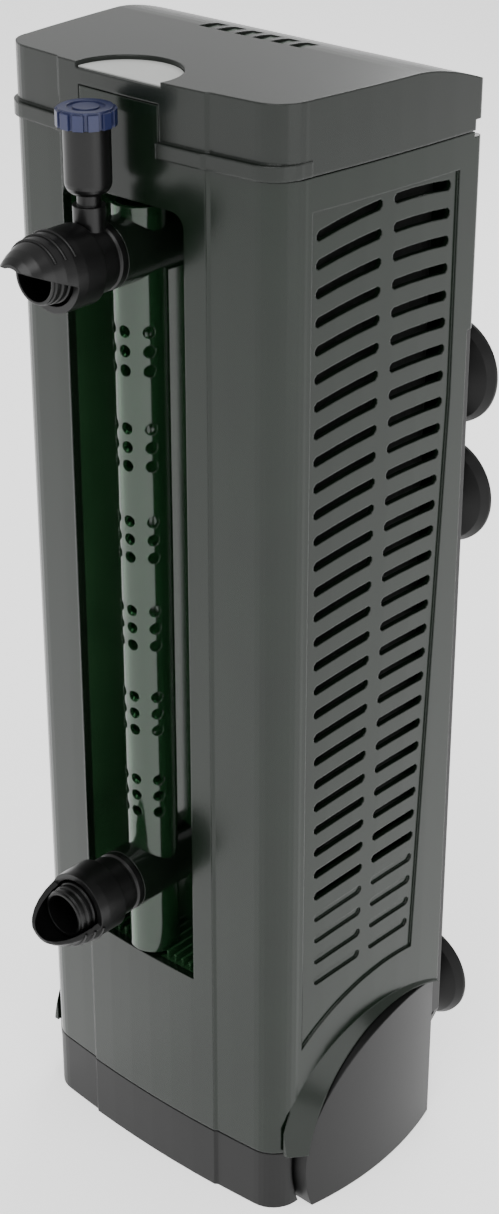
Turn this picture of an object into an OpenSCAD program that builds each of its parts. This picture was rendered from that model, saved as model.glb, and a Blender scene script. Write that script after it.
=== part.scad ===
// Internal power filter for an aquarium: a tall housing with side intake grilles, a pump in
// the base, a vertical spray bar in a front recess, two turning outlet nozzles and a
// slide-on bracket with suction cups. Front is -Y, top is +Z, origin under the middle of
// the base.

/* [Housing] */
// Height from the base to the top of the lid
total_h = 320; // [280:1:360]
// Width across the rear corners
rear_w = 101.6; // [98:0.2:122]
// Width across the front corners
front_w = 92.5; // [90:0.5:112]
// Depth from the crown of the front panel to the rear edge under the lid
body_d = 70.7; // [68:0.1:85]
// How far the front panel bows outward
front_bow = 3; // [1:0.1:4]
// Wall thickness of the housing and lid
wall = 2.2; // [1.8:0.1:2.4]
// Radius of the two front corners
corner_r = 9; // [6:0.5:12]
// How far each side bows outward
side_bow = 0.8; // [0.2:0.1:1.5]
// Half width of the flat front panel between its creases
panel_half = 24; // [22:0.5:26]

/* [Lid] */
// Height of the lid
lid_h = 18; // [16:0.5:24]
// How far the top falls from its middle to the rear edge
rear_drop = 5.6; // [2:0.1:6.4]
// How far the drip lip stands proud at the front
lip_out = 1.4; // [0.8:0.1:2]
// Height of the drip lip
lip_h = 4; // [3:0.5:5]
// Radius of the thumb recess in the top
thumb_r = 14.3; // [10:0.1:16]
// Half width of the notch over the front tab
notch_half = 13.4; // [10:0.2:15]

/* [Base] */
// Height of the opaque base at the front
base_h = 19.6; // [16:0.2:24]
// Radius of the round side discs
disc_r = 39.3; // [34:0.1:41]
// How far a disc stands out past the housing at its crown
disc_out = 4.8; // [3.6:0.1:6]

/* [Grilles] */
// Number of slot rows on each side
slot_rows = 31; // [20:1:32]
// Rows at the bottom that are only grooves
blind_rows = 4; // [0:1:6]
// Distance between rows
slot_pitch = 7.13; // [6:0.01:7.3]
// Height of one slot
slot_h = 2.6; // [2:0.1:3.2]

/* [Outlets] */
// Outer diameter of the spray bar
bar_d = 14; // [12:0.2:16]
// Height of the upper outlet's axis
upper_z = 277; // [262:1:281]
// Height of the lower outlet's axis
lower_z = 97; // [92:1:120]
// Outer diameter of the outlet tees and collars
tee_d = 17; // [17:0.5:18.5]
// Inner diameter of the outlet tees
tee_bore_d = 13; // [12:0.2:13]
// Bore of the nozzle mouths
mouth_d = 11.4; // [9:0.2:11.6]
// Outer diameter of the turning hoods
hood_d = 20; // [19:0.2:22]
// Diameter of the holes in the spray bar
jet_d = 3.2; // [2:0.1:3.4]

/* [Bracket] */
// Height of the bracket plate
bracket_h = 226; // [200:1:236]
// Width of the bracket plate
bracket_w = 94.5; // [90:0.5:98]
// Diameter of the suction cups
cup_d = 30; // [26:0.5:32]

/* [Pump] */
// Radius of the magnet rotor
rotor_r = 7.6; // [6:0.1:8]
// Diameter of the fixed ceramic shaft
shaft_d = 3; // [2:0.1:3.4]
// Radius of the impeller
wheel_r = 13.5; // [10:0.1:14]

/* [Hidden] */

$fn = 64;
e = 0.01;          // overshoot that keeps cuts clean
gap = 0.3;         // clearance between pieces that pass each other
run = 0.05;        // radial running clearance
front_y = -body_d / 2;
rear_y = body_d / 2;
rear_r = 1.5;      // radius of the rear corners
panel_step = 0.6;  // the shoulders sit this far behind the front panel
seam_z = total_h - lid_h;
notch_top = total_h - 5.2;
ledge_d = 2.6;     // the wall behind the bracket is set in by this much
back_y = rear_y - ledge_d;
plate_low = 24;
ledge_z = plate_low + bracket_h + 1;
disc_y = back_y - 18;     // centre of the side discs
disc_z = 13.6;
disc_gap = 0.5;
disc_x = front_w / 2 - wall - 0.2; // inner face of a disc
flare_w = 5;       // band of housing that flares out around a disc

// Outlets
outlet_x = -3.4;   // the window and everything in it sit left of the middle
bar_y = front_y + 6.2;
bar_r = bar_d / 2;
bar_wall = 1.5;
tee_r = tee_d / 2;
bore_r = tee_bore_d / 2;
recess_half = 20.6;
recess_depth = 17.7;
recess_low = lower_z - 27;
recess_high = upper_z + 13;
recess_wall = 1.6;
recess_back = front_y + recess_depth;
duct_half = 11;
duct_depth = 10;
duct_wall = 1.4;
duct_y = recess_back + recess_wall;
duct_low = 46;
tee_front = front_y - 5.7;
collar_len = 8.2;
collar_front = tee_front - gap - collar_len;
land_len = 4.8;    // turning seat of the hood
land_r = 8;
thread_len = 9.5;
hood_r = hood_d / 2;
hood_back = collar_front - gap;
hood_ring = 6;     // straight ring at the back of a hood
hood_long = 17.8;  // half length of the ellipse that the bill follows
hood_wall = 1.8;
bill_len = 15.2;   // bill beyond the straight ring
stem_y = tee_front - gap - collar_len / 2;
stem_r = 4;
stem_top = upper_z + 13.6;
hose_r = 5;        // bore inside the spigot
neck_r = 2.9;
chamber_low = stem_top + 2.6;
chamber_r = 5.7;
chamber_high = chamber_low + 16.4;
cap_r = 7.2;
cap_high = chamber_high + 4.5;

// Hinge of the lid
hinge_y = rear_y - 2.7;
hinge_z = seam_z + 2.6;
hinge_r = 1.5;
ear_x = 34;
ear_w = 4;

// Pump
pump_y = 12;
well_r = rotor_r + 0.8;
well_wall = 1.5;
motor_low = 2.6;
motor_high = 44;
volute_r = wheel_r + 2.5;
volute_high = 55;
shaft_r = shaft_d / 2;
floor_t = 2.4;

// Bracket and cups
plate_y = back_y + 4.1;
plate_t = 2;
rail_x = 14;
cup_r = cup_d / 2;
cup_x = 33;
cup_z = [plate_low + 11.5, plate_low + bracket_h - 54, plate_low + bracket_h - 19];
hole_r = 3.6;

// ---- Plan of the housing, drawn at a given inset from its outer face ----
function arc(cx, cy, r, a0, a1, n) =
    [for (i = [0 : n]) let (a = a0 + (a1 - a0) * i / n) [cx + r * cos(a), cy + r * sin(a)]];
corner_x = front_w / 2 - corner_r; // centre of a front corner
function bow(x) = front_bow * pow(x / (front_w / 2), 2);
corner_y = front_y + panel_step + bow(corner_x) + corner_r;
function side_x(y, inset) =
    let (y1 = rear_y - rear_r, t = (y - corner_y) / (y1 - corner_y))
    front_w / 2 + (rear_w - front_w) / 2 * t + 4 * side_bow * t * (1 - t) - inset;
function right_side(inset) =
    let (ri = max(rear_r - inset, 0.4), y1 = rear_y - inset - ri, n = 6,
         crease = panel_half - inset / 2)
    concat([for (i = [0 : 3]) let (x = crease * i / 3) [x, front_y + bow(x) + inset]],
           [for (i = [0 : 2]) let (x = crease + 0.9 + (corner_x - crease - 0.9) * i / 2.6)
               [x, front_y + panel_step + bow(x) + inset]],
           arc(corner_x, corner_y, corner_r - inset, -86, -6, 8),
           [for (i = [0 : n]) let (y = corner_y + (y1 - corner_y) * i / n) [side_x(y, inset), y]],
           arc(side_x(y1, inset) - ri, y1, ri, 12, 90, 4));
function plan(inset) =
    let (half = right_side(inset), n = len(half))
    concat(half, [for (i = [1 : n - 1]) [-half[n - i][0], half[n - i][1]]]);

module body_plan(inset, low, high)
    translate([0, 0, low]) linear_extrude(high - low) polygon(plan(inset));
module block(x, y, z)
    translate([x[0], y[0], z[0]]) cube([x[1] - x[0], y[1] - y[0], z[1] - z[0]]);
module mirrored() {
    children();
    mirror([1, 0, 0]) children();
}
module at_outlet(z) translate([outlet_x, 0, z]) children();
module along_y(r, from, to)
    translate([0, from, 0]) rotate([-90, 0, 0]) cylinder(r = r, h = to - from);
module disc_cylinder(r, x0, x1)
    translate([x0, disc_y, disc_z]) rotate([0, 90, 0]) cylinder(r = r, h = x1 - x0, $fn = 96);

// ---- Housing ----
panel_y = [front_y + 12.9, rear_y - 8.25];
slot_cols = [[panel_y[0] + 1.9, 0.65], [4.55, panel_y[1] - 2.4]];
slot_top = seam_z - 10.7;
grille_r = 54.5;
panel_top = slot_top + 2.4;
// Below this height the panel narrows from both sides
lean_z = seam_z - 67;
function lean(z) = max(0, (lean_z - z) / 160);
// Fall of a row below its highest point, which moves rearward from row to row
function row_part(z) = (slot_top - z) / (slot_pitch * (slot_rows - 1));
function sag(y, z) =
    let (f = row_part(z)) (0.0044 - 0.003 * pow(f, 0.6)) * pow(y - 9.65 - 23 * f, 2);
function slot_ends(col, z) = col[0] < 0 ? [col[0] + 3 * lean(z), col[1] - 1.3 * lean(z)]
    : [col[0] - 1.6 * lean(z), col[1] - 6.1 * lean(z)];

// Outline of one arched slot with eased ends, drawn as depth against height
module slot_outline(y, z) {
    ends = [y[0], y[0] + 0.8, (2 * y[0] + y[1]) / 3, (y[0] + 2 * y[1]) / 3, y[1] - 0.8, y[1]];
    half = [for (i = [0 : 5]) (i == 0 || i == 5) ? slot_h / 5 : slot_h / 2];
    polygon(concat([for (i = [0 : 5]) [ends[i], z - sag(ends[i], z) - half[i]]],
                   [for (i = [5 : -1 : 0]) [ends[i], z - sag(ends[i], z) + half[i]]]));
}
module slot_rows_cut(first, last)
    translate([pad_x[0] + 4, 0, 0]) rotate([90, 0, 90]) linear_extrude(40)
        for (row = [first : last], col = slot_cols)
            slot_outline(slot_ends(col, slot_top - row * slot_pitch), slot_top - row * slot_pitch);
groove_d = 1.4;    // depth of the blind rows

module grille_cuts() {
    slot_rows_cut(0, slot_rows - blind_rows - 1);
    intersection() {
        difference() {
            body_plan(-1, base_h, slot_top);
            body_plan(groove_d, base_h - 1, slot_top + 1);
        }
        slot_rows_cut(slot_rows - blind_rows, slot_rows - 1);
    }
}

module grille_panel_cut() intersection() {
    difference() {
        body_plan(-1, disc_z, panel_top + 1);
        body_plan(0.7, disc_z - 1, panel_top + 2);
    }
    difference() {
        translate([20, 0, 0]) rotate([90, 0, 90]) linear_extrude(40) polygon([
            [panel_y[0], disc_z], [panel_y[0], panel_top], [panel_y[1], panel_top],
            [panel_y[1], lean_z], [panel_y[1] - 6.6 * lean(disc_z), disc_z]]);
        disc_cylinder(grille_r, 10, 70);
    }
}

// Band that flares from the side wall out to the rim of a disc
module flare() intersection() {
    difference() {
        translate([side_x(0, 0) - 3, disc_y, disc_z]) rotate([0, 90, 0])
            cylinder(r1 = disc_r + flare_w + 2, r2 = disc_r + 0.5, h = 5.5, $fn = 96);
        disc_cylinder(disc_r + disc_gap, disc_x - gap, 70);
        body_plan(wall * 0.6, -1, seam_z);
    }
    block([30, 60], [front_y + 6, back_y], [base_h + 0.4, 80]);
}

module window(inset, from, to)
    translate([outlet_x, to, 0]) rotate([90, 0, 0]) linear_extrude(to - from)
        window_outline(inset);
module window_outline(inset) {
    r = 4;
    x = recess_half - inset;
    polygon(concat(arc(x - r, recess_high - inset - r, r, 0, 90, 5),
                   arc(r - x, recess_high - inset - r, r, 90, 180, 5),
                   [[-x, recess_low + inset], [x, recess_low + inset]]));
}

// Rails on the rear wall that the bracket slides on
module rail() {
    block([rail_x - 1.5, rail_x + 1.5], [back_y - 0.5, back_y + 2.3], [60, ledge_z - 10]);
    block([rail_x - 4, rail_x + 4], [back_y + 2.2, back_y + 3.6], [60, ledge_z - 10]);
}

// Space behind the lower rear wall, where the bracket sits
module setback(t) block([-60, 60], [back_y - t, rear_y + 1], [-1, ledge_z + t]);

module shell() difference() {
    difference() {
        body_plan(0, base_h + 0.4, seam_z);
        setback(0);
    }
    difference() {
        body_plan(wall, base_h - 1, seam_z + 1);
        setback(wall);
    }
}
// The part of the front wall between the creases
module panel_zone(low, high) block([-panel_half, panel_half], [front_y - 1, front_y + wall + 2.5],
                                   [low, high]);
module at_hinge(x) translate([x, hinge_y, hinge_z]) rotate([0, 90, 0]) children();
ear_r = 2.6;

module housing() color([0.28, 0.33, 0.28, 0.8]) difference() {
    union() {
        difference() {
            union() {
                shell();
                mirrored() flare();
                mirrored() rail();
                // ears that carry the hinge pins
                mirrored() block([ear_x - ear_w / 2, ear_x + ear_w / 2],
                                 [hinge_y - 3, rear_y - wall + 0.2], [seam_z - 12, hinge_z]);
            }
            panel_zone(base_h - 1, total_h);
            mirrored() disc_cylinder(disc_r + disc_gap, disc_x - gap, 70);
            mirrored() grille_panel_cut();
            mirrored() grille_cuts();
            // the rear rim is cut down so that the lid's back edge can swing past it
            block([-60, 60], [hinge_y - 0.5, rear_y + 1], [seam_z - 1.3, seam_z + 20]);
        }
        mirrored() at_hinge(ear_x - ear_w / 2) cylinder(r = ear_r, h = ear_w);
    }
    mirrored() at_hinge(ear_x - 5) cylinder(r = hinge_r, h = 10);
}

// Front wall between the creases, with the window and a tab that stands up into the lid
module front_panel() color([0.28, 0.33, 0.28, 0.8]) difference() {
    union() {
        intersection() {
            shell();
            panel_zone(base_h, seam_z);
        }
        intersection() {
            difference() {
                body_plan(0, seam_z - 1, notch_top - gap);
                body_plan(wall, seam_z - 2, notch_top);
            }
            block([outlet_x - notch_half + gap, outlet_x + notch_half - gap],
                  [front_y - 1, front_y + 5], [seam_z - 1, notch_top]);
        }
    }
    window(0, front_y - 1, front_y + wall + 3);
}

// Trough behind the front window: side walls, back, roof and a ribbed ledge
module outlet_recess() color([0.3, 0.38, 0.32, 0.7]) difference() {
    union() {
        intersection() {
            difference() {
                window(-recess_wall, front_y, recess_back + recess_wall - e);
                window(0, front_y - 1, recess_back);
            }
            body_plan(wall, recess_low - 4, recess_high + 4);
        }
        for (x = [-19.6 : 2.8 : 19.6])
            block([outlet_x + x - 0.4, outlet_x + x + 0.4], [front_y + wall + 0.6, recess_back + 0.2],
                  [recess_low - 0.2, recess_low + 2.4]);
    }
    for (z = [upper_z, lower_z]) at_outlet(z) along_y(tee_r, recess_back - 1, duct_y + 1);
    translate([outlet_x, bar_y, recess_low - 1]) cylinder(r = bar_r + gap, h = 10);
}

// ---- Base ----
module base_tray() color([0.26, 0.26, 0.26]) difference() {
    union() {
        difference() {
            body_plan(wall + gap, 0, base_h);
            setback(0);
        }
        block([gap - disc_x, disc_x - gap], [back_y - wall - 1, back_y], [0, base_h]);
    }
    difference() {
        body_plan(2 * wall + gap, floor_t, base_h + 1);
        setback(wall + 0.9);
    }
    translate([0, 0, gland_z]) along_y(5, back_y - 10, back_y + 1);
}

module base_front_cover() color([0.27, 0.27, 0.27]) difference() {
    body_plan(0, 0, base_h);
    body_plan(wall, -1, base_h + 1);
    mirrored() disc_cylinder(disc_r + disc_gap + 0.6, disc_x - gap, 70);
    block([-60, 60], [disc_y - 20, rear_y + 5], [-1, base_h + 1]);
}

module base_disc() difference() {
    intersection() {
        disc_cylinder(disc_r, disc_x, 70);
        translate([side_x(0, 0) + disc_out - 105, 2.6, -1]) cylinder(r = 105, h = 80, $fn = 192);
        block([disc_x, 60], [front_y, back_y], [0, 80]);
    }
    body_plan(wall - 0.1, -1, 80);
}
module base_disc_right() color([0.26, 0.26, 0.26]) base_disc();
module base_disc_left() color([0.26, 0.26, 0.26]) mirror([1, 0, 0]) base_disc();

// ---- Lid ----
crown_y = rear_y - 23.8; // the top is level up to here and then falls
module lid_shape(inset, low, high) intersection() {
    body_plan(inset, low, high);
    translate([-70, 0, 0]) rotate([90, 0, 90]) linear_extrude(140) polygon(concat(
        [[front_y - 5, low], [front_y - 5, high]],
        [for (i = [0 : 8]) let (t = i / 8)
            [crown_y + (rear_y - crown_y) * t, high - rear_drop * pow(t, 1.6)]],
        [[rear_y + 1, high - rear_drop], [rear_y + 1, low]]));
}

module lid() color([0.32, 0.37, 0.33, 0.85]) difference() {
    union() {
        difference() {
            union() {
                lid_shape(0, seam_z + 0.3, total_h);
                intersection() {
                    translate([0, -lip_out, 0]) body_plan(0, seam_z + 0.3, seam_z + lip_h);
                    block([-60, 60], [front_y - 4, corner_y + 1], [seam_z, seam_z + lip_h + 1]);
                }
            }
            lid_shape(wall, seam_z - 1, total_h - wall);
            // notch for the tab
            block([outlet_x - notch_half, outlet_x + notch_half],
                  [front_y - 4, front_y + wall + 1], [seam_z, notch_top]);
            // thumb recess
            translate([outlet_x, front_y + 2.5, total_h - 1.4]) cylinder(r = thumb_r, h = 2);
            // plain slots in the top
            for (x = [-15 : 6 : 15])
                block([outlet_x + x - 2, outlet_x + x + 2], [10.5, 17.5],
                      [total_h - 1.2, total_h + 1]);
            // the back edge stops above the hinge line and clears the ears
            block([-60, 60], [hinge_y - 0.2, rear_y + 1], [seam_z, hinge_z + 0.3]);
            mirrored() translate([ear_x - ear_w / 2 - gap, hinge_y, hinge_z]) rotate([0, 90, 0])
                cylinder(r = 3, h = ear_w + 2 * gap);
        }
        mirrored() lid_lug();
    }
    mirrored() translate([ear_x - ear_w, hinge_y, hinge_z]) rotate([0, 90, 0])
        cylinder(r = hinge_r + run, h = 12);
}
module lid_lug() {
    translate([ear_x + ear_w / 2 + gap, hinge_y, hinge_z]) rotate([0, 90, 0])
        cylinder(r = 2.6, h = 4);
    block([ear_x + ear_w / 2 + gap, ear_x + ear_w / 2 + gap + 4],
          [hinge_y - 2.6, hinge_y + 0.4], [hinge_z, total_h - rear_drop - wall + 0.6]);
}

module lid_hinge_pins() color("silver") mirrored()
    translate([ear_x - ear_w / 2 - 0.5, hinge_y, hinge_z]) rotate([0, 90, 0])
        cylinder(r = hinge_r, h = ear_w + gap + 5);

// ---- Spray bar and riser ----
bar_low = recess_low + 1;
bar_high = upper_z + 11;
jet_groups = 6;
jet_group_pitch = (upper_z - lower_z) / 7;
jet_row_pitch = 5.1;
jet_angles = [-30, 9, 62];

module spray_bar() color([0.45, 0.6, 0.5, 0.6]) difference() {
    translate([outlet_x, bar_y, bar_low]) cylinder(r = bar_r, h = bar_high - bar_low);
    translate([outlet_x, bar_y, bar_low - 1])
        cylinder(r = bar_r - bar_wall, h = bar_high - bar_low + 2);
    for (z = [upper_z, lower_z]) at_outlet(z) along_y(bore_r - 0.6, bar_y - 20, bar_y + 20);
    for (g = [0 : jet_groups - 1], row = [-1 : 1], a = jet_angles)
        translate([outlet_x, bar_y, (upper_z + lower_z) / 2 + (g - 2.5) * jet_group_pitch
                   + row * jet_row_pitch])
            rotate([90, 0, a]) cylinder(d = jet_d, h = 12, $fn = 24);
}

// Plugs that close the two ends of the spray bar
module spray_bar_end_caps() color([0.2, 0.22, 0.2]) {
    for (z = [bar_low, bar_high - 2.4]) translate([outlet_x, bar_y, z])
        cylinder(r = bar_r - bar_wall, h = 2.4);
}

module riser_duct() color([0.3, 0.35, 0.3, 0.8]) translate([outlet_x, 0, 0]) difference() {
    block([-duct_half, duct_half], [duct_y, duct_y + duct_depth], [duct_low, total_h - 6]);
    block([-duct_half + duct_wall, duct_half - duct_wall],
          [duct_y + duct_wall, duct_y + duct_depth - duct_wall],
          [duct_low + duct_wall, total_h - 6 - duct_wall]);
    for (z = [upper_z, lower_z]) translate([0, 0, z]) along_y(bore_r, duct_y - 1, duct_y + 3);
    block([-6, 6], [duct_y + duct_depth - 3, duct_y + duct_depth + 1],
          [duct_low + 1.4, volute_high - 3]);
}

// ---- Outlets ----
module tee(z) color([0.12, 0.14, 0.12]) at_outlet(z) difference() {
    along_y(tee_r, tee_front, duct_y);
    along_y(bore_r, tee_front - 1, duct_y + 1);
    translate([0, bar_y, -20]) cylinder(r = bar_r, h = 40);
}
module upper_tee() tee(upper_z);
module lower_tee() tee(lower_z);

// The spigot stops just short of the spray bar and carries the seal half way along
spigot = bar_y - bar_r - 0.2 - tee_front;
seal_in = spigot / 2;
module seal(z) color([0.08, 0.08, 0.08]) at_outlet(z) translate([0, tee_front + seal_in, 0])
    rotate([90, 0, 0]) rotate_extrude() translate([bore_r - 0.53, 0]) circle(r = 0.46, $fn = 20);
module upper_seal() seal(upper_z);
module lower_seal() seal(lower_z);

// Turned profile of a nozzle: spigot with a ring groove, ribbed collar, hood seat, thread
module nozzle_profile() {
    groove = 1;      // depth of the ring groove
    bore_step = 2;   // the bore widens this far outside the tee
    collar_top = gap + collar_len;
    seat_top = collar_top + land_len;
    top = seat_top + thread_len;
    mouth_r = mouth_d / 2;
    threads = 5;
    step = thread_len / threads;
    taper = (land_r - mouth_r - 1.2) / threads;
    polygon(concat(
        [[hose_r, -spigot], [bore_r - run, -spigot], [bore_r - run, -seal_in - 0.6],
         [bore_r - groove, -seal_in - 0.6], [bore_r - groove, -seal_in + 0.6],
         [bore_r - run, -seal_in + 0.6], [bore_r - run, gap],
         [tee_r, gap], [tee_r, 2], [tee_r - 0.5, 2.4], [tee_r - 0.5, 3.4], [tee_r, 3.8],
         [tee_r, collar_top - 0.6], [tee_r - 0.6, collar_top],
         [land_r - run, collar_top], [land_r - run, seat_top]],
        [for (i = [0 : threads - 1]) let (out = land_r - 0.3 - i * taper, z = seat_top + i * step)
            each [[out, z], [out, z + 0.5 * step], [out - 0.35, z + 0.6 * step],
                  [out - 0.35, z + 0.95 * step]]],
        [[mouth_r + 0.5, top], [mouth_r, top], [mouth_r, bore_step + 1], [hose_r, bore_step]]));
}
module nozzle_body(z)
    at_outlet(z) translate([0, tee_front, 0]) rotate([90, 0, 0]) rotate_extrude() nozzle_profile();

module upper_nozzle() color([0.16, 0.16, 0.17]) difference() {
    union() {
        difference() {
            union() {
                nozzle_body(upper_z);
                translate([outlet_x, stem_y, upper_z + 6])
                    cylinder(r = stem_r, h = stem_top - upper_z - 6);
            }
            at_outlet(upper_z) along_y(mouth_d / 2, stem_y - 5, tee_front - 3);
        }
        translate([outlet_x, stem_y, stem_top - 1]) cylinder(r = neck_r, h = 8);
    }
    translate([outlet_x, stem_y, upper_z]) cylinder(r = 1.3, h = 50, $fn = 24);
}
module lower_nozzle() color([0.16, 0.16, 0.17]) nozzle_body(lower_z);

// Hood with a duck bill that steers the jet; drawn with the bill on top
module hood_revolve(t, shift)
    rotate_extrude() polygon(concat(
        [[0, shift], [hood_r - t, shift], [hood_r - t, hood_ring]],
        [for (a = [10 : 10 : 90]) [(hood_r - t) * cos(a), hood_ring + hood_long * sin(a)]]));
module hood(z, turn) color([0.15, 0.15, 0.16])
    translate([outlet_x, hood_back, z]) rotate([90, 0, 0]) rotate([0, 0, turn]) difference() {
        hood_revolve(0, 0);
        hood_revolve(hood_wall, land_len - 0.8);
        translate([0, 0, -1]) cylinder(r = land_r, h = 12);
        translate([20, 0, 0]) rotate([0, -90, 0]) linear_extrude(40) bill_cut();
    }
module bill_cut() {
    tip = hood_ring + bill_len;
    lip = hood_r * sqrt(1 - pow(bill_len / hood_long, 2));
    polygon([[hood_ring + 3, -15], [hood_ring + 3, -1.2], [tip - 0.8, lip - 1.8],
             [tip, lip - 1.4], [tip, hood_r + 2], [tip + 10, hood_r + 2], [tip + 10, -15]]);
}
module upper_hood() hood(upper_z, 0);
module lower_hood() hood(lower_z, 160);

// Air chamber on the stem, with a slot that draws air, and its blue valve cap
module air_chamber() color([0.16, 0.16, 0.17]) difference() {
    translate([outlet_x, stem_y, chamber_low]) rotate_extrude() polygon(concat([[0, 0]],
        arc(chamber_r - 3, 3, 3, -90, 0, 5), [[chamber_r, chamber_high - chamber_low],
        [0, chamber_high - chamber_low]]));
    translate([outlet_x, stem_y, chamber_low - 1]) cylinder(r = neck_r, h = 20);
    translate([outlet_x, stem_y, chamber_low + 6]) cylinder(r = 4.1, h = 20);
    rotate_at_stem(-65) block([-1.2, 1.2], [-9, -3], [chamber_low + 8, chamber_high - 2]);
}
module rotate_at_stem(a) translate([outlet_x, stem_y, 0]) rotate([0, 0, a]) children();

module air_valve_cap() color([0.2, 0.25, 0.45]) difference() {
    union() {
        translate([outlet_x, stem_y, chamber_high + 0.2])
            cylinder(r = cap_r - 0.7, h = cap_high - chamber_high - 0.2);
        for (a = [0 : 30 : 330]) rotate_at_stem(a)
            block([-1.3, 1.3], [-cap_r, -cap_r + 2], [chamber_high + 0.2, cap_high - 0.5]);
        translate([outlet_x, stem_y, chamber_high - 5]) cylinder(r = 4.1 - run, h = 6);
    }
    translate([outlet_x, stem_y, chamber_high - 6]) cylinder(r = 2.8, h = 8);
    translate([outlet_x, stem_y, cap_high - 0.5]) difference() {
        cylinder(r = 4.6, h = 2);
        translate([0, 0, -1]) cylinder(r = 3.2, h = 4);
    }
}

// ---- Filter media ----
pad_y = [panel_y[0] + 0.5, panel_y[1] - 0.5];
pad_z = [lower_z + 16, seam_z - 8];
pad_x = [29.2, side_x(pad_y[0], wall) - 0.8];
module foam_pad() block(pad_x, pad_y, pad_z);
module foam_pad_right() color([0.1, 0.1, 0.1]) foam_pad();
module foam_pad_left() color([0.1, 0.1, 0.1]) mirror([1, 0, 0]) foam_pad();

module foam_frame() difference() {
    block([pad_x[0] - 2.4, pad_x[0] - 0.4], pad_y, pad_z);
    for (i = [0 : 5]) block([pad_x[0] - 4, pad_x[0] + 1], [pad_y[0] + 4, pad_y[1] - 4],
        [pad_z[0] + 5 + i * (pad_z[1] - pad_z[0] - 6) / 6,
         pad_z[0] + 1 + (i + 1) * (pad_z[1] - pad_z[0] - 6) / 6]);
}
module foam_frame_right() color([0.3, 0.32, 0.3]) foam_frame();
module foam_frame_left() color([0.3, 0.32, 0.3]) mirror([1, 0, 0]) foam_frame();

basket_half = 24;
basket_y = [duct_y + duct_depth + 0.8, back_y - wall - 1];
basket_z = [volute_high + 6, seam_z - 14];
basket_wall = 1.5;
shelf_z = 190;
module media_basket() color([0.25, 0.3, 0.26]) {
    difference() {
        block([-basket_half, basket_half], basket_y, basket_z);
        for (z = [[basket_z[0] + basket_wall, shelf_z], [shelf_z + basket_wall, basket_z[1] + 1]])
            block([-basket_half + basket_wall, basket_half - basket_wall],
                  [basket_y[0] + basket_wall, basket_y[1] - basket_wall], z);
        for (z = [basket_z[0] + 8 : 12 : shelf_z - 12])
            block([-basket_half - 1, basket_half + 1], [basket_y[0] + 5, basket_y[1] - 5], [z, z + 5]);
        for (z = [basket_z[0], shelf_z], x = [-18 : 9 : 18])
            block([x - 1.5, x + 1.5], [basket_y[0] + 5, basket_y[1] - 5], [z - 1, z + 3]);
    }
    // lifting handle
    difference() {
        block([-12, 12], [basket_y[0], basket_y[0] + basket_wall], [basket_z[1] - 1, basket_z[1] + 12]);
        block([-8, 8], [basket_y[0] - 1, basket_y[0] + 3], [basket_z[1] + 1, basket_z[1] + 9]);
    }
}
module polishing_pad() color([0.85, 0.85, 0.8])
    block([-basket_half + 2, basket_half - 2], [basket_y[0] + 2, basket_y[1] - 2],
          [shelf_z + basket_wall + 0.2, basket_z[1] - 20]);

// Ceramic rings standing in layers in the lower half of the basket
ring_r = 6.5;
ring_len = 13;
module ceramic_rings() color([0.8, 0.76, 0.7])
    for (layer = [0 : 7], i = [-1 : 1], j = [0, 1])
        translate([i * (2 * ring_r + 0.8), basket_y[0] + 2.5 + ring_r + j * (2 * ring_r + 0.6),
                   basket_z[0] + basket_wall + 0.2 + layer * (ring_len + 0.6)])
            difference() {
                cylinder(r = ring_r, h = ring_len, $fn = 24);
                translate([0, 0, -1]) cylinder(r = 3.2, h = ring_len + 2, $fn = 24);
            }

// ---- Pump ----
core_y = [pump_y - 22, pump_y + 8];
core_z = [16, 30];
coil_half = 9;
module at_pump(z) translate([0, pump_y, z]) children();
module motor_block() color([0.15, 0.15, 0.16]) difference() {
    union() {
        difference() {
            block([-24, 24], [pump_y - 26, back_y - 2 * wall - 1.2], [motor_low, motor_high]);
            block([-19.4, 19.4], [core_y[0] - 2.4, core_y[1] + 0.4], [core_z[0] - 4.4, core_z[1] + 4.4]);
        }
        at_pump(8) cylinder(r = well_r + well_wall, h = 30);
    }
    at_pump(8) cylinder(r = well_r, h = 40);
}
module stator_core() color([0.5, 0.5, 0.52]) difference() {
    block([-19, 19], core_y, core_z);
    block([-10.6, 10.6], [core_y[0] + 8, core_y[1] + 1], [core_z[0] - 1, core_z[1] + 1]);
}
module stator_coil() color([0.7, 0.4, 0.2]) difference() {
    block([-coil_half, coil_half], [core_y[0] - 2, core_y[0] + 10], [core_z[0] - 4, core_z[1] + 4]);
    block([-coil_half - 1, coil_half + 1], [core_y[0], core_y[0] + 8], core_z);
}
module rotor_magnet() color([0.2, 0.2, 0.2]) difference() {
    at_pump(12) cylinder(r = rotor_r, h = 26);
    at_pump(11) cylinder(r = shaft_r + run, h = 30);
}
wheel_z = motor_high + 1.6;
module impeller_wheel() color([0.85, 0.85, 0.82]) difference() {
    union() {
        at_pump(38) cylinder(r = 4, h = wheel_z - 38 + 5.4);
        at_pump(wheel_z) cylinder(r = wheel_r, h = 1.4);
        for (a = [0 : 60 : 300]) at_pump(0) rotate([0, 0, a])
            block([-0.7, 0.7], [3, wheel_r - 0.4], [wheel_z + 1, wheel_z + 5.4]);
    }
    at_pump(37) cylinder(r = shaft_r + run, h = 30);
}
module impeller_shaft() color([0.95, 0.95, 0.92]) at_pump(8.5) cylinder(r = shaft_r, h = 45);
module shaft_bush_lower() color([0.1, 0.1, 0.1]) difference() {
    at_pump(8) cylinder(r = 4, h = 3.4);
    at_pump(8.5) cylinder(r = shaft_r, h = 6);
}
module shaft_bush_upper() color([0.1, 0.1, 0.1]) difference() {
    at_pump(51.8) cylinder(r = 3, h = 2.2);
    at_pump(51) cylinder(r = shaft_r, h = 2.5);
}
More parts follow.
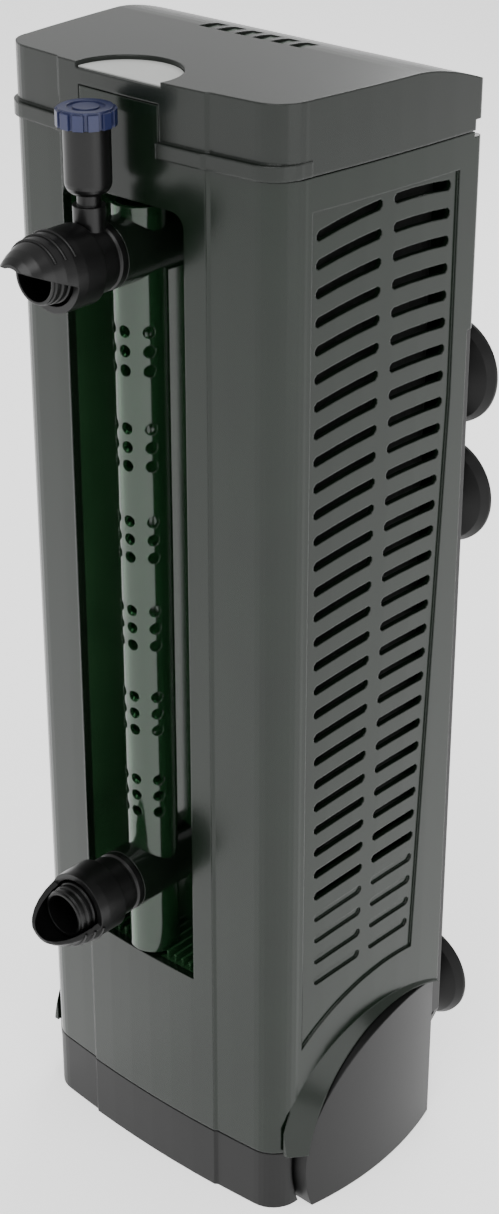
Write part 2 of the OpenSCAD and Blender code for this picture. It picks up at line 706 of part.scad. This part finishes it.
// Spiral chamber over the impeller, with intake holes on top and a spout to the riser
module pump_cover() color([0.28, 0.32, 0.28]) difference() {
    union() {
        at_pump(motor_high) cylinder(r = volute_r + 1.8, h = volute_high - motor_high);
        block([outlet_x - 7.5, outlet_x + 7.5], [duct_y + duct_depth, pump_y],
              [motor_high + 2.4, volute_high - 1]);
    }
    difference() {
        at_pump(motor_high - 1) cylinder(r = volute_r, h = volute_high - motor_high - 1);
        at_pump(51.6) cylinder(r = 4.6, h = 4);
    }
    at_pump(51) cylinder(r = 3, h = 3);
    for (a = [0 : 60 : 300]) at_pump(0) rotate([0, 0, a]) translate([0, 8.4, 50])
        cylinder(r = 2.6, h = 10, $fn = 24);
    block([outlet_x - 5.8, outlet_x + 5.8], [duct_y + duct_depth - 1, pump_y - 10],
          [motor_high + 4, volute_high - 3]);
}

// Rubber bush where the mains lead enters
gland_z = 12;
gland_r = 4.6;
module cable_gland() color([0.08, 0.08, 0.08]) translate([0, 0, gland_z]) difference() {
    union() {
        along_y(5, back_y - wall - 2.3, back_y);
        along_y(6.5, back_y, back_y + 1.6);
        along_y(gland_r, back_y + 1.5, back_y + 8);
    }
    along_y(2.8, back_y - 12, back_y + 12);
}

// ---- Bracket and suction cups ----
plate_cut = [4, 10]; // cut-off lower corners of the plate
slide_len = 45;      // travel of the plate down the rails
module mounting_bracket() color([0.34, 0.34, 0.34]) difference() {
    union() {
        translate([0, plate_y + plate_t, 0]) rotate([90, 0, 0]) linear_extrude(plate_t) polygon([
            [plate_cut[0] - bracket_w / 2, plate_low], [bracket_w / 2 - plate_cut[0], plate_low],
            [bracket_w / 2, plate_low + plate_cut[1]], [bracket_w / 2, plate_low + bracket_h],
            [-bracket_w / 2, plate_low + bracket_h], [-bracket_w / 2, plate_low + plate_cut[1]]]);
        mirrored() {
            block([bracket_w / 2 - 2, bracket_w / 2], [back_y + gap, plate_y + 0.1],
                  [plate_low + plate_cut[1], plate_low + bracket_h]);
            for (side = [-1, 1]) {
                block([rail_x + side * 5.1 - 0.7, rail_x + side * 5.1 + 0.7],
                      [back_y + 0.5, plate_y + 0.1], [plate_low + 20, plate_low + bracket_h]);
                block([rail_x + side * 3.8 - 2, rail_x + side * 3.8 + 2],
                      [back_y + 0.5, back_y + 1.8], [plate_low + 20, plate_low + bracket_h]);
            }
        }
    }
    mirrored() for (z = cup_z) translate([cup_x, 0, z]) along_y(hole_r, plate_y - 1, plate_y + 4);
    // notch that the gland and its lead pass through as the plate slides down
    block([-gland_r - 1, gland_r + 1], [plate_y - 1, plate_y + 4],
          [plate_low - 1, gland_z + gland_r + slide_len + 1]);
}

// Soft cup: a button behind the plate, a neck through it and a thin flared skirt
cup_h = 12;
module suction_cup(side, z) color([0.12, 0.12, 0.12])
    translate([side * cup_x, plate_y, z]) rotate([-90, 0, 0]) rotate_extrude() polygon([
        [0, -2], [5.4, -2], [5.4, 0], [hole_r, 0], [hole_r, plate_t], [7, plate_t],
        [7, plate_t + 3], [cup_r - 5, plate_t + 6], [cup_r - 1.4, plate_t + 9],
        [cup_r, plate_t + cup_h - 0.8], [cup_r, plate_t + cup_h],
        [cup_r - 1.2, plate_t + cup_h], [8, plate_t + 8.2], [0, plate_t + 7.6]]);
module suction_cup_1() suction_cup(1, cup_z[0]);
module suction_cup_2() suction_cup(-1, cup_z[0]);
module suction_cup_3() suction_cup(1, cup_z[1]);
module suction_cup_4() suction_cup(-1, cup_z[1]);
module suction_cup_5() suction_cup(1, cup_z[2]);
module suction_cup_6() suction_cup(-1, cup_z[2]);

housing();
front_panel();
outlet_recess();
base_tray();
base_front_cover();
base_disc_left();
base_disc_right();
lid();
lid_hinge_pins();
spray_bar();
spray_bar_end_caps();
riser_duct();
upper_tee();
upper_seal();
upper_nozzle();
upper_hood();
air_chamber();
air_valve_cap();
lower_tee();
lower_seal();
lower_nozzle();
lower_hood();
foam_pad_left();
foam_pad_right();
foam_frame_left();
foam_frame_right();
media_basket();
polishing_pad();
ceramic_rings();
motor_block();
stator_core();
stator_coil();
rotor_magnet();
impeller_wheel();
impeller_shaft();
shaft_bush_lower();
shaft_bush_upper();
pump_cover();
cable_gland();
mounting_bracket();
suction_cup_1();
suction_cup_2();
suction_cup_3();
suction_cup_4();
suction_cup_5();
suction_cup_6();
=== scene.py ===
import bmesh
import bpy
import math
from mathutils import Matrix, Vector, noise


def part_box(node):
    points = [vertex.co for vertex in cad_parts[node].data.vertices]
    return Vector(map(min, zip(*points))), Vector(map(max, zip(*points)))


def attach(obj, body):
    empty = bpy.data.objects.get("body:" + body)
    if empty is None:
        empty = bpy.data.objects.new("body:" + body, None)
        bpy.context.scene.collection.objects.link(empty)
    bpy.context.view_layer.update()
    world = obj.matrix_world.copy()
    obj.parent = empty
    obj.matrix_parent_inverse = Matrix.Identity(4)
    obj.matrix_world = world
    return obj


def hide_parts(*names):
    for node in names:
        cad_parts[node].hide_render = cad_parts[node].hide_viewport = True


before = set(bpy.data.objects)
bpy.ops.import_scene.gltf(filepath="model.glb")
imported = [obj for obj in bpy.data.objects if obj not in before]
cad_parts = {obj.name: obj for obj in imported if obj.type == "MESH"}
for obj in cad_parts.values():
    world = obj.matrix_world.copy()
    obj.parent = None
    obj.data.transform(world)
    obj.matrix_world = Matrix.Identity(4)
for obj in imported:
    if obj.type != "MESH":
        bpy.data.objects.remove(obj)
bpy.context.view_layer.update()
MM = 0.001

# ---- Camera, floor and light ----
# A still life on a pale sweep, seen from above and to the right of the front panel.
# A broad soft light hangs over the front, with a weaker one low on the right and one behind.
turn, tilt = math.radians(42.3), math.radians(27.6)
right = Vector((math.cos(turn), math.sin(turn), 0))
up = Vector((-math.sin(turn) * math.sin(tilt), math.cos(turn) * math.sin(tilt), math.cos(tilt)))
back = right.cross(up)
eye = Vector((0, 0.00435, 0.1696)) + 0.00178 * right - 0.00371 * up + 0.6286 * back
camera = bpy.data.objects.new("camera", bpy.data.cameras.new("camera"))
bpy.context.scene.collection.objects.link(camera)
placing = Matrix((right, up, back)).transposed().to_4x4()
placing.translation = eye
camera.matrix_world = placing
camera.data.sensor_fit = "VERTICAL"
camera.data.sensor_height = 36
camera.data.lens = 68.2
bpy.context.scene.camera = camera


def linear(code):
    """An sRGB hex colour as the linear RGBA that a shader socket takes."""
    parts = [int(code[i:i + 2], 16) / 255 for i in (0, 2, 4)]
    parts = [p / 12.92 if p <= 0.04045 else ((p + 0.055) / 1.055) ** 2.4 for p in parts]
    return (*parts, 1)


world = bpy.data.worlds.new("studio")
bpy.context.scene.world = world
world.use_nodes = True
world.node_tree.nodes["Background"].inputs["Color"].default_value = linear("ffffff")
world.node_tree.nodes["Background"].inputs["Strength"].default_value = 0.8
sweep = bpy.data.materials.new("pale_sweep")
sweep.use_nodes = True
paper = sweep.node_tree.nodes["Principled BSDF"]
paper.inputs["Base Color"].default_value = linear("fafafa")
paper.inputs["Roughness"].default_value = 0.9
paper.inputs["Emission Color"].default_value = linear("ffffff")
paper.inputs["Emission Strength"].default_value = 0.9
ground = bmesh.new()
bmesh.ops.create_grid(ground, x_segments=1, y_segments=1, size=4)
floor_mesh = bpy.data.meshes.new("floor")
ground.to_mesh(floor_mesh)
ground.free()
floor = bpy.data.objects.new("floor", floor_mesh)
bpy.context.scene.collection.objects.link(floor)
floor_mesh.materials.append(sweep)
middle = Vector((0, 0, 0.16))
for name, place, size, power in (
        ("key", (0.25, -0.55, 0.95), 0.7, 6),
        ("fill", (0.95, -0.1, 0.4), 0.6, 2.5),
        ("rim", (-0.3, 0.8, 0.8), 0.5, 4)):
    lamp = bpy.data.lights.new(name, "AREA")
    lamp.size = size
    lamp.energy = power
    holder = bpy.data.objects.new(name, lamp)
    bpy.context.scene.collection.objects.link(holder)
    holder.location = place
    holder.rotation_euler = (middle - Vector(place)).to_track_quat("-Z", "Y").to_euler()

# ---- Housing and lid ----
# Two injection mouldings in smoked SAN, a hard see-through plastic like a sunglass lens.
# The slots are cored in the mould; a polished tool leaves a glossy skin with faint flow
# clouds, and the thick wall lets only a little green light through.


def add(tree, kind, settings=(), **links):
    """Adds one shader node, sets its values and links its sockets."""
    made = tree.nodes.new(kind)
    for key, value in dict(settings).items():
        if isinstance(key, str) and hasattr(made, key):  # a node property, not a socket
            setattr(made, key, value)
        else:
            made.inputs[key].default_value = value
    for key, source in links.items():
        tree.links.new(source, made.inputs[key.replace("_", " ")])
    return made


def moulded(name, dark, light, grain, bump, rough, edge=0.0, **sockets):
    """A material whose two close tones and fine relief follow a noise of real grain size in mm."""
    made = bpy.data.materials.new(name)
    made.use_nodes = True
    tree = made.node_tree
    shader = tree.nodes["Principled BSDF"]
    where = add(tree, "ShaderNodeTexCoord").outputs["Object"]
    cloud = add(tree, "ShaderNodeTexNoise", {"Scale": 1 / (12 * MM), "Detail": 3.0}, Vector=where)
    tone = add(tree, "ShaderNodeMix", {"data_type": "RGBA", 6: linear(dark), 7: linear(light)})
    tree.links.new(cloud.outputs["Fac"], tone.inputs[0])
    tree.links.new(tone.outputs[2], shader.inputs["Base Color"])
    fine = add(tree, "ShaderNodeTexNoise", {"Scale": 1 / (grain * MM), "Detail": 2.0}, Vector=where)
    relief = add(tree, "ShaderNodeBump", {"Strength": bump, "Distance": 0.1 * MM},
                 Height=fine.outputs["Fac"])
    if edge:
        soft = add(tree, "ShaderNodeBevel", {"samples": 4, "Radius": edge * MM})
        tree.links.new(soft.outputs["Normal"], relief.inputs["Normal"])
    tree.links.new(relief.outputs["Normal"], shader.inputs["Normal"])
    shader.inputs["Roughness"].default_value = rough
    for key, value in sockets.items():
        shader.inputs[key.replace("_", " ")].default_value = value
    return made


def finish_nodes(finish, *names):
    """Gives CAD parts their material."""
    for n in names:
        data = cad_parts[n].data
        data.materials.clear()
        data.materials.append(finish)


smoked = moulded("smoked_san_polished_mould", "0a140c", "111e13", 0.8, 0.05, 0.2, 0.5,
                 IOR=1.57, Transmission_Weight=0.25, Specular_IOR_Level=0.24)
finish_nodes(smoked, "housing", "front_panel")
smoked_lid = moulded("smoked_san_satin_lid", "0d130e", "141b15", 0.5, 0.08, 0.24, 0.7,
                     IOR=1.57, Transmission_Weight=0.2, Specular_IOR_Level=0.28)
finish_nodes(smoked_lid, "lid")

# ---- Thumb recess and slots in the lid's top ----
# The moulding carries a shallow round recess for a thumb, with a sand-textured floor, and
# a row of plain slots. Their floors are left matt by the tool, so they read paler or darker.


def piece(name, mesh, body, finish):
    """Turns a finished bmesh into an object at the origin that rides on a body."""
    data = bpy.data.meshes.new(name)
    bmesh.ops.recalc_face_normals(mesh, faces=mesh.faces)
    mesh.to_mesh(data)
    mesh.free()
    made = bpy.data.objects.new(name, data)
    bpy.context.scene.collection.objects.link(made)
    data.materials.append(finish)
    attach(made, body)
    return made


front_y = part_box("base_front_cover")[0].y
top_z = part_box("lid")[1].z
outlet_x = (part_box("spray_bar")[0].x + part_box("spray_bar")[1].x) / 2
thumb_r = 14.1 * MM
thumb_y = front_y + 2.5 * MM
thumb_depth = 1.25 * MM
lid_front = front_y + 1.2 * MM
frosted = moulded("san_sand_textured_floor", "a4a6a3", "b4b5b3", 0.3, 0.4, 0.6, IOR=1.57)
recess = bmesh.new()
bmesh.ops.create_cone(
    recess, cap_ends=True, segments=96, radius1=thumb_r, radius2=thumb_r, depth=0.3 * MM,
    matrix=Matrix.Translation((outlet_x, thumb_y, top_z - thumb_depth)))
cut = bmesh.ops.bisect_plane(recess, geom=recess.verts[:] + recess.edges[:] + recess.faces[:],
                             plane_co=(0, lid_front, 0), plane_no=(0, -1, 0),
                             clear_outer=True)
bmesh.ops.holes_fill(
    recess, edges=[g for g in cut["geom_cut"] if isinstance(g, bmesh.types.BMEdge)])
piece("lid_thumb_floor", recess, "lid", frosted)
slot_floor = moulded("san_matt_slot_floor", "1f2b21", "28382a", 0.3, 0.3, 0.5, IOR=1.57)
slot_size = (3.9 * MM, 6.9 * MM, 0.2 * MM)
slot_count, slot_pitch = 6, 6
slot_y, slot_depth = 14 * MM, 1.1 * MM
slots = bmesh.new()
for i in range(slot_count):
    across = slot_pitch * (i - (slot_count - 1) / 2) * MM
    bmesh.ops.create_cube(slots, size=1, matrix=Matrix.Translation(
        (outlet_x + across, slot_y, top_z - slot_depth))
        @ Matrix.Diagonal((*slot_size, 1)))
piece("lid_slot_floors", slots, "lid", slot_floor)

# ---- Clear mouldings ----
# The recess liner, spray bar, riser and pump cover are the same SAN with less pigment.
# Thin walls make the spray bar, riser and pump cover a pale bottle green, glossy and clearly
# see-through; the recess liner is darker and less see-through, as painted shade for the recess.
clear = moulded("tinted_san_clear", "2a5434", "3a6642", 1.2, 0.03, 0.12, 0.3,
                IOR=1.57, Transmission_Weight=0.85, Specular_IOR_Level=0.35)
finish_nodes(clear, "spray_bar", "riser_duct", "pump_cover")
# The liner's darker green and low transmission are painted shade, standing in for the shade that
# falls inside the deep recess round the spray bar.
recess_painted_shade = moulded("tinted_san_recess_liner_painted_shade", "1d3a22", "2a4c2f", 1.2, 0.05, 0.2,
                IOR=1.57, Transmission_Weight=0.35)
finish_nodes(recess_painted_shade, "outlet_recess")

# ---- Base ----
# Tray, front cover and the two crowned side discs are moulded in charcoal ABS.
# A fine spark-eroded texture keeps them satin and hides scuffs from gravel.
charcoal = moulded("charcoal_abs_spark_textured", "0e0e0e", "131313", 0.4, 0.2, 0.42, 0.6,
                   IOR=1.53, Specular_IOR_Level=0.25)
finish_nodes(charcoal, "base_tray", "base_front_cover", "base_disc_left", "base_disc_right")

# ---- Outlets ----
# Tees, nozzles, hoods and the air chamber are black ABS turned and cored in polished tools.
# The surface is a soft black gloss that picks up the window light along every ring.
black = moulded("black_abs_satin_gloss", "070707", "0b0b0b", 0.6, 0.1, 0.3, 0.35, IOR=1.53,
                Specular_IOR_Level=0.3)
finish_nodes(black, "upper_nozzle", "lower_nozzle", "upper_hood", "lower_hood", "air_chamber",
             "spray_bar_end_caps")
socket_green = moulded("green_black_san_socket", "0a0f0b", "101711", 0.8, 0.05, 0.15, 0.3,
                       IOR=1.57, Transmission_Weight=0.15)
finish_nodes(socket_green, "upper_tee", "lower_tee")

# ---- Grip ribs on the hoods ----
# Three low ribs cross the dome of each hood so that wet fingers can turn it.
# They are part of the same black moulding, half round and under a millimetre wide.
hood_back_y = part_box("upper_hood")[1].y
# Radius of the dome, length of the plain ring behind it and length of the dome, in mm
hood_r, hood_ring, hood_long = 10, 6, 17.8
rib_places, rib_r = (2.2, 5.0, 7.8), 0.42 * MM
rib_span = math.radians(110)
for body, tee, tilt_by in (("upper_hood", "upper_tee", 0),
                           ("lower_hood", "lower_tee", math.radians(160))):
    ribs = bmesh.new()
    low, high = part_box(tee)
    axis_z = (low.z + high.z) / 2
    for along in rib_places:
        radius = hood_r * math.sqrt(1 - (along / hood_long) ** 2) * MM
        centre = Vector((outlet_x, hood_back_y - (hood_ring + along) * MM, axis_z))
        ring = bmesh.ops.create_circle(ribs, segments=8, radius=rib_r, cap_ends=False,
                                       matrix=Matrix.Translation(centre + Vector((0, 0, radius)))
                                       @ Matrix.Rotation(math.pi / 2, 4, "Y"))["verts"]
        bmesh.ops.rotate(ribs, verts=ring, cent=centre,
                         matrix=Matrix.Rotation(tilt_by - rib_span / 2, 3, "Y"))
        edges = list({e for v in ring for e in v.link_edges})
        bmesh.ops.spin(ribs, geom=edges, cent=centre, axis=(0, 1, 0), angle=rib_span, steps=28,
                       use_merge=False)
    bmesh.ops.holes_fill(ribs, edges=[e for e in ribs.edges if e.is_boundary])
    piece(body + "_grip_ribs", ribs, body, black)

# ---- Air valve cap ----
# A push-on knob in blue polypropylene, fluted at the rim; it turns to meter the air.
# Polypropylene is a little waxy, so its highlights are broad and soft.
blue = moulded("blue_polypropylene_waxy", "151a3a", "20274c", 0.5, 0.12, 0.36, 0.35, IOR=1.49)
finish_nodes(blue, "air_valve_cap")

# ---- Bracket and suction cups ----
# The slide-on bracket is a 2 mm grey ABS moulding, with six soft PVC cups pushed through it.
# The cups are smooth and slightly sticky looking, blacker than the plate.
grey = moulded("grey_abs_bracket", "1c1c1c", "242424", 0.45, 0.2, 0.45, 0.5, IOR=1.53,
               Specular_IOR_Level=0.3)
finish_nodes(grey, "mounting_bracket")
rubber = moulded("soft_black_pvc", "040404", "070707", 0.6, 0.08, 0.45, IOR=1.52,
                 Specular_IOR_Level=0.2)
finish_nodes(rubber, "upper_seal", "lower_seal", "shaft_bush_lower", "shaft_bush_upper",
             "cable_gland", *["suction_cup_%d" % i for i in range(1, 7)])

# ---- Foam pads ----
# Two slabs of black open-cell polyurethane foam slide in behind the grilles.
# They are cut from a block, so the faces are flat with torn cells and the edges give a little.
foam = moulded("black_open_cell_foam", "0b0c0b", "1c1e1c", 1.1, 1.0, 0.95, IOR=1.5)
floss = moulded("white_polyester_floss", "c9c9c2", "e6e6df", 0.7, 1.0, 0.95, IOR=1.5)
cell, edge_round, tear_grain = 2.0 * MM, 1.2 * MM, 1.7 * MM
for name, finish, slot_name, tear in (
        ("foam_pad_left", foam, "black_foam", 0.7), ("foam_pad_right", foam, "black_foam", 0.7),
        ("polishing_pad", floss, "white_floss", 1.0)):
    low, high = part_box(name)
    slab = bmesh.new()
    bmesh.ops.create_cube(slab, size=1, matrix=Matrix.Translation((low + high) / 2)
                          @ Matrix.Diagonal((*(high - low), 1)))
    bmesh.ops.bevel(slab, geom=slab.edges[:], offset=edge_round, affect="EDGES", segments=2,
                    profile=0.5, material=-1)
    # A grid of cuts about one cell apart gives the faces vertices that can be torn inwards
    for axis in range(3):
        count = int((high[axis] - low[axis]) / cell)
        for i in range(1, count):
            plane = Vector(low)
            plane[axis] += (high[axis] - low[axis]) * i / count
            normal = Vector((0, 0, 0))
            normal[axis] = 1
            bmesh.ops.bisect_plane(slab, geom=slab.verts[:] + slab.edges[:] + slab.faces[:],
                                   plane_co=plane, plane_no=normal)
    slab.normal_update()
    for v in slab.verts:
        v.co -= v.normal * tear * MM * abs(noise.noise(v.co / tear_grain))
    pad = piece(name + "_cells", slab, "filter_body", finish)
    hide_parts(name)

# ---- Frames and media basket ----
# Smoked polypropylene frames hold the foam; the basket lifts out by its handle.
# They are thin utility mouldings with a dull surface.
inner = moulded("smoked_polypropylene_inner", "1f241f", "2a302b", 0.5, 0.2, 0.5, 0.3, IOR=1.49)
finish_nodes(inner, "foam_frame_left", "foam_frame_right", "media_basket")
# The rings in the basket are extruded clay, sintered so that bacteria can settle in the pores.
clay = moulded("sintered_ceramic_porous", "c9beae", "ddd3c4", 0.35, 0.8, 0.85, IOR=1.6)
finish_nodes(clay, "ceramic_rings")

# ---- Pump and motor ----
# A resin-filled block with a laminated steel core and enamelled winding drives a ferrite
# rotor through its wall. The rotor turns on a polished ceramic shaft in rubber bushes.
resin = moulded("potting_resin_black", "282829", "333335", 0.9, 0.1, 0.35, 0.4, IOR=1.55)
finish_nodes(resin, "motor_block")
steel = moulded("laminated_core_steel", "7b7c80", "909196", 0.3, 0.3, 0.4, Metallic=1.0)
sheets = steel.node_tree
# Each sheet takes about half a wave, and a wave is 2 pi / 20 long at a scale of 1
lamination = 0.5 * MM
plates = add(sheets, "ShaderNodeTexWave",
             {"bands_direction": "Z", "Scale": 1 / lamination / 20 * 3.2},
             Vector=next(n for n in sheets.nodes if n.type == "TEX_COORD").outputs["Object"])
step = add(sheets, "ShaderNodeBump", {"Strength": 0.6, "Distance": 0.1 * MM},
           Height=plates.outputs["Fac"])
sheets.links.new(step.outputs["Normal"], sheets.nodes["Principled BSDF"].inputs["Normal"])
finish_nodes(steel, "stator_core")
copper = moulded("enamelled_copper_winding", "a0562a", "b96a38", 0.4, 0.4, 0.3, Metallic=1.0,
                 Coat_Weight=0.5)
# The winding is one wire laid in close turns round the back leg of the core, each turn a
# rounded loop. It is drawn thicker than real wire so that the turns show.
low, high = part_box("stator_coil")
wire = 0.45 * MM
turns = bmesh.new()
count = int((high.x - low.x) / (2.1 * wire))
for i in range(count):
    across = low.x + wire + (high.x - low.x - 2 * wire) * i / (count - 1)
    bmesh.ops.create_cube(turns, size=1, matrix=Matrix.Translation(
        (across, (low.y + high.y) / 2, (low.z + high.z) / 2))
        @ Matrix.Diagonal((2 * wire, high.y - low.y, high.z - low.z, 1)))
bmesh.ops.bevel(turns, geom=turns.edges[:], offset=0.4 * MM, affect="EDGES", segments=3,
                profile=0.5, material=-1)
coil = piece("stator_winding", turns, "filter_body", copper)
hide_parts("stator_coil")
ferrite = moulded("sintered_ferrite", "38383a", "454547", 0.3, 0.3, 0.55, IOR=2.0)
finish_nodes(ferrite, "rotor_magnet")
nylon = moulded("white_nylon_moulded", "dad9d2", "e8e7e1", 0.5, 0.1, 0.4, 0.2, IOR=1.53)
finish_nodes(nylon, "impeller_wheel")
alumina = moulded("polished_alumina_shaft", "efeeea", "f6f5f2", 0.3, 0.03, 0.15, IOR=1.76)
finish_nodes(alumina, "impeller_shaft")
pins = moulded("polished_stainless_pin", "a9aab0", "bcbdc2", 0.4, 0.05, 0.18, Metallic=1.0)
finish_nodes(pins, "lid_hinge_pins")
